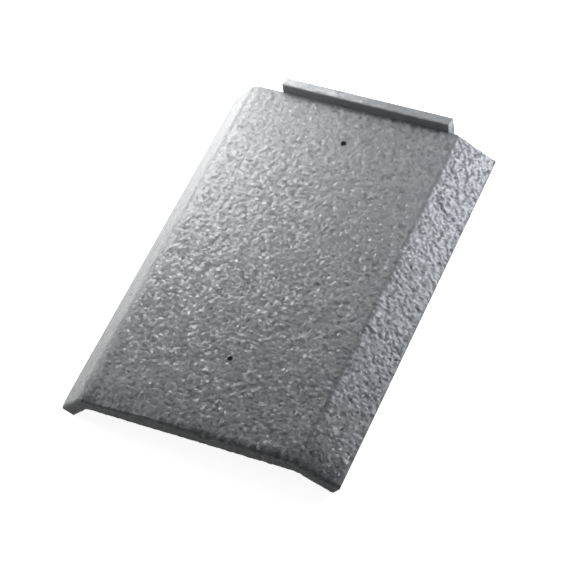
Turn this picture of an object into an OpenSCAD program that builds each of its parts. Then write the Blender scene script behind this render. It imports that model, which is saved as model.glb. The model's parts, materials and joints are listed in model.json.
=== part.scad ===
// Roof gable cap tile: one solid concrete tile with a flat top, a short steep
// flank on its left, a longer and shallower flank on its right, a low rib
// behind its head and two nail holes on its centre line.
// Millimetres. X runs across the tile, Y from tail to head, Z up. The origin
// is on the floor, under the middle of the tile's overall length and width.

/* [Body] */
// Length along Y, from the foremost point of the tail to the head end
body_length = 420; // [300:1:600]
// Width of the flat top, from crease to crease
top_width = 226; // [150:1:320]
// Height of the flat top above the floor
body_height = 43; // [36:1:60]
// Thickness of the flat top
top_thickness = 19; // [14:0.5:24]
// Angle at which the tail end leans back under the flat top
tail_lean = 7; // [0:0.5:15]

/* [Left flank] */
// Slope of the left flank below level
left_slope = 50; // [35:1:60]
// Thickness of the left flank
left_thickness = 15; // [12:0.5:20]

/* [Right flank] */
// Slope of the right flank below level
right_slope = 34; // [28:1:50]
// Thickness of the right flank
right_thickness = 19; // [14:0.5:24]

/* [Edges] */
// Radius of the soft crease between the left flank and the flat top
left_crease_radius = 6; // [2:0.5:12]
// Radius of the crisp crease between the flat top and the right flank
right_crease_radius = 1.5; // [0.5:0.5:6]
// Radius of the outer edge along the foot of each flank
foot_radius = 2; // [0.5:0.5:5]
// Radius of the inside corners under the two creases
inner_radius = 5; // [1:0.5:10]
// Radius of the upper edge round the tail end
tail_radius = 2.5; // [2:0.5:10]

/* [Rib] */
// Distance along the head end from the left crease to the rib
rib_left_gap = 32; // [10:1:60]
// Distance along the head end from the rib to the right crease
rib_right_gap = 10; // [5:1:60]
// Depth of the rib behind the head end
rib_depth = 15; // [8:1:30]
// Height of the rib's front face above the flat top
rib_front_height = 12; // [6:0.5:20]
// Height of the rib's back face above the flat top
rib_back_height = 6; // [0:0.5:14]
// Radius of the rib's upper edges and upright edges
rib_radius = 1.5; // [0.5:0.5:3]

/* [Nail holes] */
// Diameter of each nail hole
nail_hole_diameter = 6; // [4:0.5:9]
// Distance from the head end to the centre of the upper nail hole
head_hole_setback = 46; // [30:1:80]
// Distance from the foremost point of the tail to the centre of the lower nail hole
tail_hole_setback = 89; // [60:1:140]

/* [Hidden] */
$fn = 96;

tile_colour = "dimgray";
// How far a cutting shape runs past the surface that it cuts
bite = 2;
// Largest turn, in degrees, between two flats of a rounded edge
arc_step = 12;

// The flat top lies between the creases, measured from the left crease.
// Each flank drops to the floor, so its outer face's length follows its slope.
left_foot_drop = body_height - left_thickness * cos(left_slope);
right_foot_drop = body_height - right_thickness * cos(right_slope);
left_foot_run = left_foot_drop / tan(left_slope);
right_foot_run = right_foot_drop / tan(right_slope);

// How far a foot's rounding draws the tile's widest point in from its sharp corner
left_draw = foot_radius * (sin(left_slope) + cos(left_slope) - 1);
right_draw = foot_radius * (sin(right_slope) + cos(right_slope) - 1);
// How far the tail's rounding draws its foremost point back from its sharp edge
tail_draw = tail_radius * ((1 + sin(tail_lean)) / cos(tail_lean) - 1);

left_crease_x = (left_foot_run - left_draw - (top_width + right_foot_run - right_draw)) / 2;
right_crease_x = left_crease_x + top_width;
overall_length = body_length + rib_depth;
tail_front_y = -overall_length / 2;
tail_edge_y = tail_front_y - tail_draw;
head_y = tail_front_y + body_length;
rib_back_y = head_y + rib_depth;
underside_z = body_height - top_thickness;

// Unit vectors in the section plane, down each flank and out of its face
left_down = [-cos(left_slope), -sin(left_slope)];
left_out = [-sin(left_slope), cos(left_slope)];
right_down = [cos(right_slope), -sin(right_slope)];
right_out = [sin(right_slope), cos(right_slope)];

// Corners of the section in X and Z, clockwise from the left flank's foot
left_crease = [left_crease_x, body_height];
right_crease = [right_crease_x, body_height];
left_foot = left_crease + left_down * left_foot_drop / sin(left_slope);
right_foot = right_crease + right_down * right_foot_drop / sin(right_slope);
left_tip = left_foot - left_out * left_thickness;
right_tip = right_foot - right_out * right_thickness;
left_inner = left_tip - left_down * underside_z / sin(left_slope);
right_inner = right_tip - right_down * underside_z / sin(right_slope);

function unit(v) = v / norm(v);

// The points of an arc that rounds a corner and touches both of its sides
function rounded(before, corner, after, radius) =
    let (side_a = unit(before - corner), side_b = unit(after - corner))
    let (inward = unit(side_a + side_b), half = acos(side_a * inward))
    let (centre = corner + inward * radius / sin(half), turn = 180 - 2 * half)
    let (arm_a = corner + side_a * radius / tan(half) - centre)
    let (arm_b = corner + side_b * radius / tan(half) - centre)
    let (steps = ceil(turn / arc_step))
    [for (i = [0 : steps])
        centre + (arm_a * sin(turn * (1 - i / steps)) + arm_b * sin(turn * i / steps)) / sin(turn)];

// The tile's cross-section, in X and Z
module section() {
    polygon(concat(
        rounded(left_tip, left_foot, left_crease, foot_radius),
        rounded(left_foot, left_crease, right_crease, left_crease_radius),
        rounded(left_crease, right_crease, right_foot, right_crease_radius),
        rounded(right_crease, right_foot, right_tip, foot_radius),
        [right_tip],
        rounded(right_tip, right_inner, left_inner, inner_radius),
        rounded(right_inner, left_inner, left_tip, inner_radius),
        [left_tip]));
}

// Stands a drawing made in X and Z up along Y, from y_from to y_to
module along_y(y_from, y_to) {
    translate([0, y_to, 0]) rotate([90, 0, 0]) linear_extrude(y_to - y_from) children();
}

// Stands a drawing made in Y and Z up along X, from x_from to x_to
module along_x(x_from, x_to) {
    translate([x_from, 0, 0]) rotate([90, 0, 90]) linear_extrude(x_to - x_from) children();
}

// What the leaning tail end cuts away
module tail_cut() {
    along_x(left_foot[0] - bite, right_foot[0] + bite)
        polygon([[tail_edge_y - 2 * bite, body_height + bite],
                 [tail_edge_y - bite * tan(tail_lean), body_height + bite],
                 [tail_edge_y + (body_height + bite) * tan(tail_lean), -bite],
                 [tail_edge_y - 2 * bite, -bite]]);
}

// The rib seen from above
module rib_outline() {
    left_x = left_crease_x + rib_left_gap;
    right_x = right_crease_x - rib_right_gap;
    corners = [[left_x, head_y], [left_x, rib_back_y], [right_x, rib_back_y], [right_x, head_y]];
    polygon([for (i = [0 : 3])
        each rounded(corners[(i + 3) % 4], corners[i], corners[(i + 1) % 4], rib_radius)]);
}

// What the head end cuts away: all that lies behind it, apart from the rib
module head_cut() {
    width = right_foot[0] - left_foot[0] + 2 * bite;
    translate([0, 0, -bite])
        linear_extrude(body_height + 2 * bite)
            difference() {
                translate([left_foot[0] - bite, head_y]) square([width, rib_depth + 2 * bite]);
                rib_outline();
            }
}

// What rounds the tail's upper edge along one outer face. face_out is the
// face's outward normal and start is a point on the face's sharp tail edge.
module tail_rounding(face_out, start) {
    end_out = [0, -cos(tail_lean), -sin(tail_lean)];
    edge = unit(cross(face_out, end_out));
    inward = cross(face_out, edge);
    // In the plane across the edge, the face runs along [1, 0] and the tail end along end_down
    inside_angle = 180 - acos(face_out * end_out);
    end_down = [cos(inside_angle), -sin(inside_angle)];
    tangent = tail_radius / tan(inside_angle / 2);
    span = top_width + body_length;
    multmatrix([[inward[0], face_out[0], edge[0], start[0]],
                [inward[1], face_out[1], edge[1], start[1]],
                [inward[2], face_out[2], edge[2], start[2]]])
        linear_extrude(span, center = true)
            polygon(concat(
                [end_down * tangent - [sin(inside_angle), cos(inside_angle)] * bite,
                 [-bite / tan(inside_angle / 2), bite],
                 [tangent, bite]],
                rounded([1, 0], [0, 0], end_down, tail_radius)));
}

// A nail hole, right through the flat top
module nail_hole(y) {
    translate([0, y, underside_z - bite])
        cylinder(d = nail_hole_diameter, h = top_thickness + 2 * bite);
}

// The bent slab, cut to length, with the foot of the rib behind its head end
module slab() {
    difference() {
        along_y(tail_edge_y - bite, rib_back_y + bite) section();
        tail_cut();
        head_cut();
    }
}

// The crest of the rib, rooted in its foot, with a top that falls to the back
module rib_crest() {
    root_z = body_height - top_thickness / 2;
    front_top = [head_y, body_height + rib_front_height];
    back_top = [rib_back_y, body_height + rib_back_height];
    front_root = [head_y, root_z];
    back_root = [rib_back_y, root_z];
    intersection() {
        along_x(left_crease_x, right_crease_x)
            polygon(concat(
                rounded(front_root, front_top, back_top, rib_radius),
                rounded(front_top, back_top, back_root, rib_radius),
                [back_root, front_root]));
        translate([0, 0, root_z])
            linear_extrude(body_height + rib_front_height - root_z)
                rib_outline();
    }
}

module gable_cap_tile() {
    left_edge = [left_crease_x, tail_edge_y, body_height];
    right_edge = [right_crease_x, tail_edge_y, body_height];
    color(tile_colour) difference() {
        union() {
            slab();
            rib_crest();
        }
        tail_rounding([0, 0, 1], left_edge);
        tail_rounding([left_out[0], 0, left_out[1]], left_edge);
        tail_rounding([right_out[0], 0, right_out[1]], right_edge);
        nail_hole(head_y - head_hole_setback);
        nail_hole(tail_front_y + tail_hole_setback);
    }
}

gable_cap_tile();
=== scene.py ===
"""A roof gable cap tile of dark grey, riven concrete, lying on a pale floor.

Metres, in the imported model's frame: X runs across the tile, Y from its tail to its head, Z up.
"""
import json
import math

import bmesh
import bpy
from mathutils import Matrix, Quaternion, Vector, noise


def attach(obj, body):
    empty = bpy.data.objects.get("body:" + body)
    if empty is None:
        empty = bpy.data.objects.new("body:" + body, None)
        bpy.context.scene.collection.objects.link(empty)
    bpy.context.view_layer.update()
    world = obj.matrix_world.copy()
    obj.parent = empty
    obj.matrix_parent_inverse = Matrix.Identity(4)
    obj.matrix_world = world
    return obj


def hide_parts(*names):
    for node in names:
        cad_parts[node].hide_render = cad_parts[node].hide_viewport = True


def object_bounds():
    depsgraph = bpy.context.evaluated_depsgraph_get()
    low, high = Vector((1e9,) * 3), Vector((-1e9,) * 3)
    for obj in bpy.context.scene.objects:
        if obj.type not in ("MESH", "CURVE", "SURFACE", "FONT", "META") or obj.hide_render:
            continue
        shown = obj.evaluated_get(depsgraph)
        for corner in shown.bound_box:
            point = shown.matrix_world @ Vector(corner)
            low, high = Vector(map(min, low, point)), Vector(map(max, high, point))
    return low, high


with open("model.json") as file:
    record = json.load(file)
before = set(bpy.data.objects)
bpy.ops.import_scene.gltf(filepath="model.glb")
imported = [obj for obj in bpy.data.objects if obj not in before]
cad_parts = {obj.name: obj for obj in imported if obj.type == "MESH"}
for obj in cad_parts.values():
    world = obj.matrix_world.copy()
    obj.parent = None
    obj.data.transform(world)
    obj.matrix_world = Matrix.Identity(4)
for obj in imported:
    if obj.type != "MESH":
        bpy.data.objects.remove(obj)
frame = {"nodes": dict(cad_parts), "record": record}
CAD_LOW, CAD_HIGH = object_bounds()

NODE = "gable_cap_tile"
MOUNTS = {mount["name"]: mount for mount in frame["record"]["mounts"]}

# Places on the tile
TOP_WIDTH = 0.226
RIB_DEPTH = 0.015
LEFT_SLOPE = math.radians(50)
RIGHT_SLOPE = math.radians(34)
LEFT_CREASE_X = -0.1192
RIGHT_CREASE_X = LEFT_CREASE_X + TOP_WIDTH
TOP_Z = MOUNTS["lap_face"]["pos_m"][2]
TAIL_Y = CAD_LOW.y
HEAD_Y = CAD_HIGH.y - RIB_DEPTH

# The camera looks at AIM from its azimuth and elevation, tilted a little sideways
AIM = Vector((0.01283, -0.02894, TOP_Z))
VIEW_AZIMUTH = math.radians(31.04)
VIEW_ELEVATION = math.radians(51.5)
VIEW_ROLL = math.radians(-9.99)
VIEW_DISTANCE = 2.37185
LENS = 154.86

# The lamps on the right are a little cooler than the others
COOL_WHITE = (0.92, 0.93, 1.0)
# How much light the white world gives
WORLD_LIGHT = 0.08
# How strongly the floor glows where the camera sees it, and where it is mirrored
SEEN_GLOW = 0.9
MIRRORED_GLOW = 0.7
# The floor's grey as a source of light, and the paler one under its glow
FLOOR_GREY = 0.45
FLOOR_PALE = 0.8


def make_camera():
    """The camera, at the angle from which the tile is seen."""
    camera = bpy.data.objects.new("camera", bpy.data.cameras.new("camera"))
    bpy.context.scene.collection.objects.link(camera)
    bpy.context.scene.camera = camera
    back = direction(VIEW_AZIMUTH, VIEW_ELEVATION)
    camera.data.sensor_width = 36
    camera.data.lens = LENS
    camera.data.clip_end = 20
    camera.location = AIM + back * VIEW_DISTANCE
    camera.rotation_mode = "QUATERNION"
    level = back.to_track_quat("Z", "Y")
    camera.rotation_quaternion = level @ Quaternion((0, 0, 1), VIEW_ROLL)


def direction(azimuth, elevation):
    """The unit vector that points from the tile towards that azimuth and elevation."""
    flat = math.cos(elevation)
    return Vector((math.sin(azimuth) * flat, -math.cos(azimuth) * flat, math.sin(elevation)))


def make_lamp(name, azimuth, elevation, distance, width, height, watts, colour=(1, 1, 1)):
    """A soft rectangular lamp that faces the tile."""
    lamp = bpy.data.lights.new(name, "AREA")
    lamp.shape = "RECTANGLE"
    lamp.size = width
    lamp.size_y = height
    lamp.energy = watts
    lamp.color = colour
    holder = bpy.data.objects.new(name, lamp)
    bpy.context.scene.collection.objects.link(holder)
    away = direction(math.radians(azimuth), math.radians(elevation))
    holder.location = away * distance
    holder.visible_camera = False
    holder.rotation_mode = "QUATERNION"
    holder.rotation_quaternion = away.to_track_quat("Z", "Y")


def make_lamps():
    """The lamps round the tile: azimuth, elevation, distance, width, height and watts of each."""
    make_lamp("lamp_left", 285, 35, 0.5, 0.3, 0.3, 0.61)
    make_lamp("lamp_low_left", 250, 12, 0.5, 0.3, 0.3, 0.35)
    make_lamp("lamp_back_left", 232, 30, 0.42, 0.22, 0.22, 1.12)
    make_lamp("lamp_back", 211, 34, 0.43, 0.2, 0.2, 0.34)
    make_lamp("lamp_rib", 205, 8, 0.5, 0.2, 0.06, 0.33)
    make_lamp("lamp_high", 165, 55, 0.8, 0.3, 0.3, 0.91)
    make_lamp("lamp_back_right", 140, 15, 0.6, 0.2, 0.2, 1.17, COOL_WHITE)
    make_lamp("lamp_low_right", 125, 14, 0.7, 0.2, 0.2, 0.62, COOL_WHITE)
    make_lamp("lamp_right", 120, 28, 0.7, 0.3, 0.3, 1.23, COOL_WHITE)


def make_world():
    """A world that is white to look at but gives next to no light."""
    world = bpy.data.worlds.new("world")
    bpy.context.scene.world = world
    world.use_nodes = True
    tree = world.node_tree
    path = tree.nodes.new("ShaderNodeLightPath")
    strength = tree.nodes.new("ShaderNodeMath")
    strength.operation = "MAXIMUM"
    strength.inputs[1].default_value = WORLD_LIGHT
    tree.links.new(path.outputs["Is Camera Ray"], strength.inputs[0])
    background = tree.nodes["Background"]
    background.inputs["Color"].default_value = (1, 1, 1, 1)
    tree.links.new(strength.outputs[0], background.inputs["Strength"])


def make_floor():
    """The plain white floor that the tile lies on and throws its shadow on."""
    mesh = bpy.data.meshes.new("floor")
    sheet = bmesh.new()
    bmesh.ops.create_grid(sheet, x_segments=1, y_segments=1, size=8)
    sheet.to_mesh(mesh)
    sheet.free()
    floor = bpy.data.objects.new("floor", mesh)
    bpy.context.scene.collection.objects.link(floor)
    mesh.materials.append(make_white())


def make_white():
    """White to look at, a little dimmer where it is mirrored, and mid grey as a source of light."""
    material = bpy.data.materials.new("floor_white")
    material.use_nodes = True
    tree = material.node_tree
    tree.nodes.clear()
    path = tree.nodes.new("ShaderNodeLightPath")
    mix = tree.nodes.new("ShaderNodeMixShader")
    tree.links.new(looked_at(tree, path), mix.inputs[0])
    tree.links.new(matt(tree, FLOOR_GREY), mix.inputs[1])
    tree.links.new(glowing(tree, path), mix.inputs[2])
    out = tree.nodes.new("ShaderNodeOutputMaterial")
    tree.links.new(mix.outputs[0], out.inputs["Surface"])
    return material


def looked_at(tree, path):
    """1 where the floor is seen, mirrored or seen through a piece, and 0 elsewhere."""
    seen = path.outputs["Is Camera Ray"]
    for ray in ("Is Glossy Ray", "Is Transmission Ray"):
        either = tree.nodes.new("ShaderNodeMath")
        either.operation = "MAXIMUM"
        tree.links.new(seen, either.inputs[0])
        tree.links.new(path.outputs[ray], either.inputs[1])
        seen = either.outputs[0]
    return seen


def matt(tree, grey):
    """A matt surface of that grey."""
    surface = tree.nodes.new("ShaderNodeBsdfDiffuse")
    surface.inputs["Color"].default_value = (grey, grey, grey, 1)
    return surface.outputs[0]


def glowing(tree, path):
    """A pale matt surface with a white glow, which is strongest where the camera sees it."""
    strength = tree.nodes.new("ShaderNodeMath")
    strength.operation = "MULTIPLY_ADD"
    strength.inputs[1].default_value = SEEN_GLOW - MIRRORED_GLOW
    strength.inputs[2].default_value = MIRRORED_GLOW
    tree.links.new(path.outputs["Is Camera Ray"], strength.inputs[0])
    glow = tree.nodes.new("ShaderNodeEmission")
    glow.inputs["Color"].default_value = (1, 1, 1, 1)
    tree.links.new(strength.outputs[0], glow.inputs["Strength"])
    both = tree.nodes.new("ShaderNodeAddShader")
    tree.links.new(matt(tree, FLOOR_PALE), both.inputs[0])
    tree.links.new(glow.outputs[0], both.inputs[1])
    return both.outputs[0]


# How finely the outer side is cut, on the riven face and on the smooth left flank
CELL = 0.0013
SMOOTH_CELL = 0.003
# Edges that turn more than this stay sharp
SHARP_ANGLE = math.radians(30)
# Points nearer to a face than this lie on it
TOUCH = 1e-5
THICKNESS = 0.019
# How far in from its foremost point the leaning tail end may reach
TAIL_END_REACH = 0.03

# The left crease's radius, as the solid has it and once it is rubbed down
CREASE_RADIUS = 0.006
BEND_RADIUS = 0.016

# Flakes of the riven face and the grain on them: their size, and how high they stand
COARSE_SIZE = 0.0058
COARSE_HEIGHT = 0.0005
FINE_SIZE = 0.0032
FINE_HEIGHT = 0.00038
GRAIN_SIZE = 0.0026
GRAIN_HEIGHT = 0.0001
# How far the flakes' edges wander, and over what length
WANDER = 0.0012
WANDER_LENGTH = 0.007
# Without a seed the wander would start from the clock, and differ each time
NOISE_SEED = 1
# On the right flank the flakes are smaller, and drawn out along its ridges
RIDGE = Vector((0.754, -0.42, -0.509))
RIDGE_STRETCH = 0.4
FLANK_FINENESS = 1.4

# The left flank's smooth skin reaches to the first X, and the face is fully riven from the second
SMOOTH_END_X = LEFT_CREASE_X - 0.012
RIVEN_START_X = LEFT_CREASE_X - 0.003
# How strongly each part is riven: the top from its left to its right, the right flank from its
# tail to its head
LEFT_FLANK_SHARE = 0.12
TOP_SHARES = (0.9, 1.6)
RIGHT_FLANK_SHARES = (0.7, 3.4)
CREASE_SHARE = 0.4
RIB_SHARE = 0.3
# How near the right crease the relief is most held down, and how far from it it is free
CREASE_HOLD = 0.0005
CREASE_FREE = 0.004
# Over what width the right flank's own share comes in, and over what height the rib's relief does
FLANK_EASE = 0.005
RIB_EASE = 0.002

# The shallow groove along the right crease, whose depth also paints a shade line into the colour:
# half its width, and how deep
GROOVE_HALF_WIDTH = 0.0026
GROOVE_AND_SHADE_DEPTH = 0.0006

# How far in from the tail the face droops, how deep all along, and how much deeper beside
# the left crease and on the right flank
DROOP_LENGTH = 0.032
DROOP_DEPTH = 0.001
LEFT_DROOP_DEPTH = 0.0048
FLANK_DROOP_DEPTH = 0.004
# Where across the tile each of those two starts, is full, begins to fade and has gone
LEFT_DROOP_X = [LEFT_CREASE_X + offset for offset in (-0.008, 0.01, 0.012, 0.075)]
FLANK_DROOP_X = [RIGHT_CREASE_X - 0.004, RIGHT_CREASE_X + 0.006]
FLANK_DROOP_X += [CAD_HIGH.x - 0.012, CAD_HIGH.x - 0.002]
# How far in from the tail the edge is knocked round on its right, and how deep
ROUND_LENGTH = 0.007
ROUND_DEPTH = 0.0028
# Where across the tile that rounding starts, and where it is full
ROUND_START_X = LEFT_CREASE_X + 0.06
ROUND_FULL_X = LEFT_CREASE_X + 0.12
# The waves in which the tail's wear varies: how long they are, and how much they change it
BROAD_WAVE = 0.022
BROAD_CHANGE = 0.7
NARROW_WAVE = 0.006
NARROW_CHANGE = 0.6
# How far in from the head end the right flank is chipped, how deep, and how large a chip is
CHIPPED_LENGTH = 0.003
CHIP_DEPTH = 0.0014
CHIP_SIZE = 0.003
# How far to either side of the right crease the chipping comes in
CHIP_EASE = 0.004

# How far the semi-gloss finish of the outer face runs down over its ends, which are raw
FINISH_DEPTH = 0.003


def merged_shell(node):
    """The node's shape as one closed shell of large flat faces."""
    shell = bmesh.new()
    shell.from_mesh(frame["nodes"][node].data)
    bmesh.ops.remove_doubles(shell, verts=shell.verts, dist=1e-6)
    bmesh.ops.dissolve_limit(
        shell, angle_limit=math.radians(0.2), verts=shell.verts, edges=shell.edges)
    return shell


def sliced(shell, faces, axis, places):
    """Cuts the faces square to an axis at each of the places, which rise along it."""
    done = []
    ahead = list(faces)
    for place in places:
        edges = {edge for face in ahead for edge in face.edges}
        verts = {vert for edge in edges for vert in edge.verts}
        cut = bmesh.ops.bisect_plane(
            shell, geom=ahead + list(edges) + list(verts), dist=1e-7,
            plane_co=axis * place, plane_no=axis)
        faces = [item for item in cut["geom"] if isinstance(item, bmesh.types.BMFace)]
        ahead = [face for face in faces if face.calc_center_bounds().dot(axis) > place]
        done += [face for face in faces if face.calc_center_bounds().dot(axis) <= place]
    return done + ahead


def steps(start, end, size):
    """The places that split the way from start to end into even steps of about that size."""
    count = round((end - start) / size)
    return [start + (end - start) * i / count for i in range(1, count)]


def make_tile():
    """The tile as one closed shell, cut fine and riven on the side that shows."""
    shell = merged_shell(NODE)
    outer = fine_faces(shell)
    shell.normal_update()
    for edge in shell.edges:
        edge.smooth = edge.calc_face_angle(0) < SHARP_ANGLE
    for face in shell.faces:
        face.smooth = True
    height = shell.verts.layers.float.new("height")
    finish = shell.verts.layers.float.new("finish")
    rises = {vert: riven_rise(vert.co) for face in outer for vert in face.verts}
    places = {vert: carved(vert, rise) for vert, rise in rises.items()}
    for vert, place in places.items():
        # The relief's height also sets the colour: painted shade in the hollows and the crease
        # groove, painted light on the heights
        vert[height] = rises[vert]
        vert[finish] = 1 - share_between(depth(vert.co), 0, FINISH_DEPTH)
        vert.co = place
    bmesh.ops.dissolve_degenerate(shell, dist=5e-6, edges=shell.edges)
    mesh = bpy.data.meshes.new("riven_tile")
    shell.to_mesh(mesh)
    shell.free()
    tile = bpy.data.objects.new("riven_tile", mesh)
    bpy.context.scene.collection.objects.link(tile)
    return tile


def fine_faces(shell):
    """The faces of the shell's outer side, after they are cut into fine cells."""
    across, along, up = Vector((1, 0, 0)), Vector((0, 1, 0)), Vector((0, 0, 1))
    outer = [face for face in shell.faces if is_outer(face)]
    left = steps(CAD_LOW.x, SMOOTH_END_X, SMOOTH_CELL) + [SMOOTH_END_X]
    top = steps(SMOOTH_END_X, RIGHT_CREASE_X, CELL)
    right = steps(RIGHT_CREASE_X, CAD_HIGH.x, CELL * math.cos(RIGHT_SLOPE))
    outer = sliced(shell, outer, across, left + top + right)
    outer = sliced(shell, outer, along, steps(TAIL_Y, CAD_HIGH.y, CELL))
    steep = [face for face in outer if is_steep(face)]
    gentle = [face for face in outer if not is_steep(face)]
    return gentle + sliced(shell, steep, up, steps(0, CAD_HIGH.z, CELL))


def is_steep(face):
    """Whether a face stands nearly upright."""
    return abs(face.normal.y) > 0.9 or abs(face.normal.x) > 0.9


def share_between(value, start, end):
    """0 where the value is at or before start, 1 at or past end, and even in between."""
    return min(max((value - start) / (end - start), 0), 1)


def blend(first, last, share):
    """The value that lies that share of the way from first to last."""
    return first + (last - first) * share


def plateau(value, start, full, fading, end):
    """0 before start and past end, 1 from full to fading, and even in between."""
    return share_between(value, start, full) * share_between(value, end, fading)


def riven_rise(place):
    """How far the relief rises at a point of the outer side: hardly on the rib."""
    if place.y > HEAD_Y - TOUCH and place.z > TOP_Z - TOUCH:
        return RIB_SHARE * riven(place) * share_between(place.z, TOP_Z, TOP_Z + RIB_EASE)
    # Along the right crease the relief sinks into a groove, and the sinking also darkens the colour
    # there as a painted shade line
    groove = 1 - share_between(abs(place.x - RIGHT_CREASE_X), 0, GROOVE_HALF_WIDTH)
    return riven(place) * riven_share(place) - GROOVE_AND_SHADE_DEPTH * groove


def carved(vert, rise):
    """Where a point of the outer side comes to lie, once the tile is riven and worn."""
    place = vert.co
    moved = place + vert.normal * rise - outward(place) * worn_down(place)
    moved += rubbed(place) - vert.normal * chipped(place)
    return Vector([min(max(moved[i], CAD_LOW[i]), CAD_HIGH[i]) for i in range(3)])


def outward(place):
    """The way that the outer face looks at a point."""
    if place.x < LEFT_CREASE_X:
        return Vector((-math.sin(LEFT_SLOPE), 0, math.cos(LEFT_SLOPE)))
    if place.x > RIGHT_CREASE_X:
        return Vector((math.sin(RIGHT_SLOPE), 0, math.cos(RIGHT_SLOPE)))
    return Vector((0, 0, 1))


def depth(place):
    """How far a point lies below the outer face, square to it."""
    crease_x = min(max(place.x, LEFT_CREASE_X), RIGHT_CREASE_X)
    return (Vector((crease_x, place.y, TOP_Z)) - place).dot(outward(place))


def riven_share(place):
    """How strongly the face is riven: hardly on the left flank, most at the right one's head."""
    past_skin = share_between(place.x, SMOOTH_END_X, RIVEN_START_X)
    top = blend(*TOP_SHARES, share_between(place.x, LEFT_CREASE_X, RIGHT_CREASE_X))
    flank = blend(*RIGHT_FLANK_SHARES, share_between(place.y, TAIL_Y, HEAD_Y))
    on_flank = share_between(place.x, RIGHT_CREASE_X, RIGHT_CREASE_X + FLANK_EASE)
    off_crease = share_between(abs(place.x - RIGHT_CREASE_X), CREASE_HOLD, CREASE_FREE)
    face = blend(top, flank, on_flank) * blend(CREASE_SHARE, 1, off_crease)
    return face * blend(LEFT_FLANK_SHARE, 1, past_skin)


def left_arm(place, radius):
    """From the middle of a bend of that radius in the left crease to a point, square to Y."""
    half = LEFT_SLOPE / 2
    inward = Vector((math.sin(half), 0, -math.cos(half)))
    return place - Vector((LEFT_CREASE_X, place.y, TOP_Z)) - inward * radius / math.cos(half)


def left_turn(arm):
    """How far round the bend a point lies: 0 where the top begins, LEFT_SLOPE at the flank."""
    return min(max(math.atan2(-arm.x, arm.z), 0), LEFT_SLOPE)


def rubbed(place):
    """How a point moves as the left crease is rubbed down into a broad bend."""
    arm = left_arm(place, CREASE_RADIUS)
    turn = left_turn(arm)
    facing = Vector((-math.sin(turn), 0, math.cos(turn)))
    below = CREASE_RADIUS - arm.dot(facing)
    wide = left_arm(place + facing * below, BEND_RADIUS)
    reach = wide.dot(facing)
    inside = reach ** 2 - wide.length_squared + BEND_RADIUS ** 2
    if wide.x > 0 or left_turn(wide) == LEFT_SLOPE or inside < 0:
        return Vector()
    return facing * (math.sqrt(inside) - reach) * (1 - share_between(below, 0, CREASE_RADIUS))


def chipped(place):
    """How much is broken away along the right flank's head end."""
    near_end = share_between(place.y, HEAD_Y - CHIPPED_LENGTH, HEAD_Y)
    on_flank = share_between(place.x, RIGHT_CREASE_X - CHIP_EASE, RIGHT_CREASE_X + CHIP_EASE)
    return CHIP_DEPTH * near_end * on_flank * max(noise.noise(place / CHIP_SIZE) + 0.2, 0)


def deeper_droop(x):
    """How much deeper the tail's edge droops at that place across the tile."""
    left = LEFT_DROOP_DEPTH * plateau(x, *LEFT_DROOP_X)
    return left + FLANK_DROOP_DEPTH * plateau(x, *FLANK_DROOP_X)


def unevenness(x):
    """How the wear along the tail varies around 1, in broad and in narrow waves."""
    broad = BROAD_CHANGE * noise.noise(Vector((x / BROAD_WAVE, 5, 0)))
    return 1 + broad + NARROW_CHANGE * noise.noise(Vector((x / NARROW_WAVE, 9, 0)))


def worn_down(place):
    """How far the outer face has sunk along the tail."""
    from_tail = place.y - TAIL_Y
    uneven = unevenness(place.x)
    droop = uneven * DROOP_DEPTH + deeper_droop(place.x)
    droop *= (1 - share_between(from_tail, 0, DROOP_LENGTH)) ** 2
    rounded = uneven * ROUND_DEPTH
    rounded *= share_between(place.x, ROUND_START_X, ROUND_FULL_X)
    rounded *= (1 - share_between(from_tail, 0, ROUND_LENGTH)) ** 2
    near_face = 1 - share_between(depth(place), 0, THICKNESS)
    return (droop + rounded) * near_face


def flakes(place, size):
    """Height, about -1 to 1, of a face that is broken into flat flakes, of which a few tilt much."""
    at = place / size
    centre = noise.voronoi(at)[1][0]
    # Scaled up, so that each flake's centre falls in a cell of its own
    tilt = Vector([(2 * share - 1) ** 3 for share in noise.cell_vector(centre * 37)])
    return tilt.dot(at - centre) + tilt.z * 0.25


def riven(place):
    """Height of the riven relief above the smooth face."""
    bent = place + noise.noise_vector(place / WANDER_LENGTH) * WANDER
    if place.x > RIGHT_CREASE_X:
        bent = (bent - RIDGE_STRETCH * RIDGE * bent.dot(RIDGE)) * FLANK_FINENESS
    relief = COARSE_HEIGHT * flakes(bent, COARSE_SIZE)
    relief += FINE_HEIGHT * flakes(bent + Vector((3, 1, 2)), FINE_SIZE)
    return relief + GRAIN_HEIGHT * noise.noise(place / GRAIN_SIZE)


def is_outer(face):
    """Whether a face is on the side of the tile that shows when it is laid."""
    middle = face.calc_center_median()
    faces_up = face.normal.z > 0.2
    on_tail = face.normal.y < -0.5 and middle.y < TAIL_Y + TAIL_END_REACH
    on_rib = middle.z > TOP_Z and middle.y > HEAD_Y - 0.001
    return faces_up or on_tail or on_rib


# The concrete's grey with painted shade in the hollows and painted light on the heights of its
# relief, and how far from the smooth face each of the two is reached
SHADED_HOLLOW_COLOUR = (0.142, 0.147, 0.151, 1)
LIT_HEIGHT_COLOUR = (0.284, 0.294, 0.302, 1)
COLOUR_REACH = 0.0004
# How many chips of the fine grain a metre holds, and how far their bump stands out
GRAIN_CHIPS = 330
GRAIN_BUMP = 1.6
# Roughness and specular level, each where the concrete is raw and where it is finished
GLOSS = {"Roughness": (0.6, 0.36), "Specular IOR Level": (0.37, 0.73)}


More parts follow.
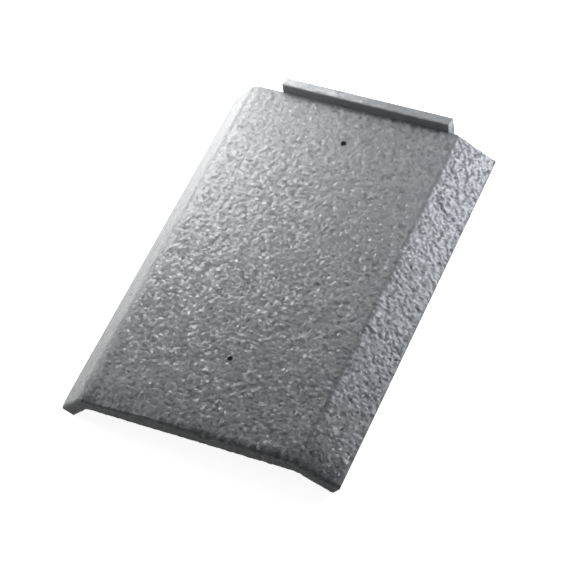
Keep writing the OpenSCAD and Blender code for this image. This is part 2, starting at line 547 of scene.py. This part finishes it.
def make_concrete():
    """Dark grey concrete, semi-gloss on its face and raw on its ends."""
    material = bpy.data.materials.new("concrete")
    material.use_nodes = True
    tree = material.node_tree
    link = tree.links.new
    shader = tree.nodes["Principled BSDF"]
    link(broken_grain(tree), shader.inputs["Normal"])
    link(painted_relief_shading(tree), shader.inputs["Base Color"])
    finish = tree.nodes.new("ShaderNodeAttribute")
    finish.attribute_name = "finish"
    for socket, (raw, finished) in GLOSS.items():
        level = tree.nodes.new("ShaderNodeMapRange")
        level.inputs["To Min"].default_value = raw
        level.inputs["To Max"].default_value = finished
        link(finish.outputs["Fac"], level.inputs["Value"])
        link(level.outputs[0], shader.inputs[socket])
    return material


def broken_grain(tree):
    """The normals of a grain of small flat chips, of which a few tilt much."""
    link = tree.links.new
    place = tree.nodes.new("ShaderNodeTexCoord").outputs["Object"]
    cells = tree.nodes.new("ShaderNodeTexVoronoi")
    cells.inputs["Scale"].default_value = GRAIN_CHIPS
    link(place, cells.inputs["Vector"])
    offset = vector_math(tree, "SUBTRACT", place, cells.outputs["Position"])
    turn = tree.nodes.new("ShaderNodeVectorMath")
    turn.operation = "SUBTRACT"
    link(cells.outputs["Color"], turn.inputs[0])
    turn.inputs[1].default_value = (0.5, 0.5, 0.5)
    squared = vector_math(tree, "MULTIPLY", turn.outputs[0], turn.outputs[0])
    cubed = vector_math(tree, "MULTIPLY", squared.outputs[0], turn.outputs[0])
    chip = vector_math(tree, "DOT_PRODUCT", offset.outputs[0], cubed.outputs[0])
    bump = tree.nodes.new("ShaderNodeBump")
    bump.inputs["Strength"].default_value = 1
    bump.inputs["Distance"].default_value = GRAIN_BUMP
    link(chip.outputs["Value"], bump.inputs["Height"])
    return bump.outputs[0]


def vector_math(tree, operation, first, second):
    """A node that does that operation on the vectors of two sockets."""
    node = tree.nodes.new("ShaderNodeVectorMath")
    node.operation = operation
    tree.links.new(first, node.inputs[0])
    tree.links.new(second, node.inputs[1])
    return node


def painted_relief_shading(tree):
    """Grey with painted shade in the hollows of the relief and painted light on its heights."""
    height = tree.nodes.new("ShaderNodeAttribute")
    height.attribute_name = "height"
    share = tree.nodes.new("ShaderNodeMapRange")
    share.inputs["From Min"].default_value = -COLOUR_REACH
    share.inputs["From Max"].default_value = COLOUR_REACH
    tree.links.new(height.outputs["Fac"], share.inputs["Value"])
    colour = tree.nodes.new("ShaderNodeMix")
    colour.data_type = "RGBA"
    colour.inputs["A"].default_value = SHADED_HOLLOW_COLOUR
    colour.inputs["B"].default_value = LIT_HEIGHT_COLOUR
    tree.links.new(share.outputs[0], colour.inputs["Factor"])
    return colour.outputs["Result"]


bpy.context.scene.view_settings.view_transform = "Standard"
make_camera()
make_lamps()
make_world()
make_floor()
noise.seed_set(NOISE_SEED)
tile = make_tile()
tile.data.materials.append(make_concrete())
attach(tile, "root")
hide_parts(NODE)
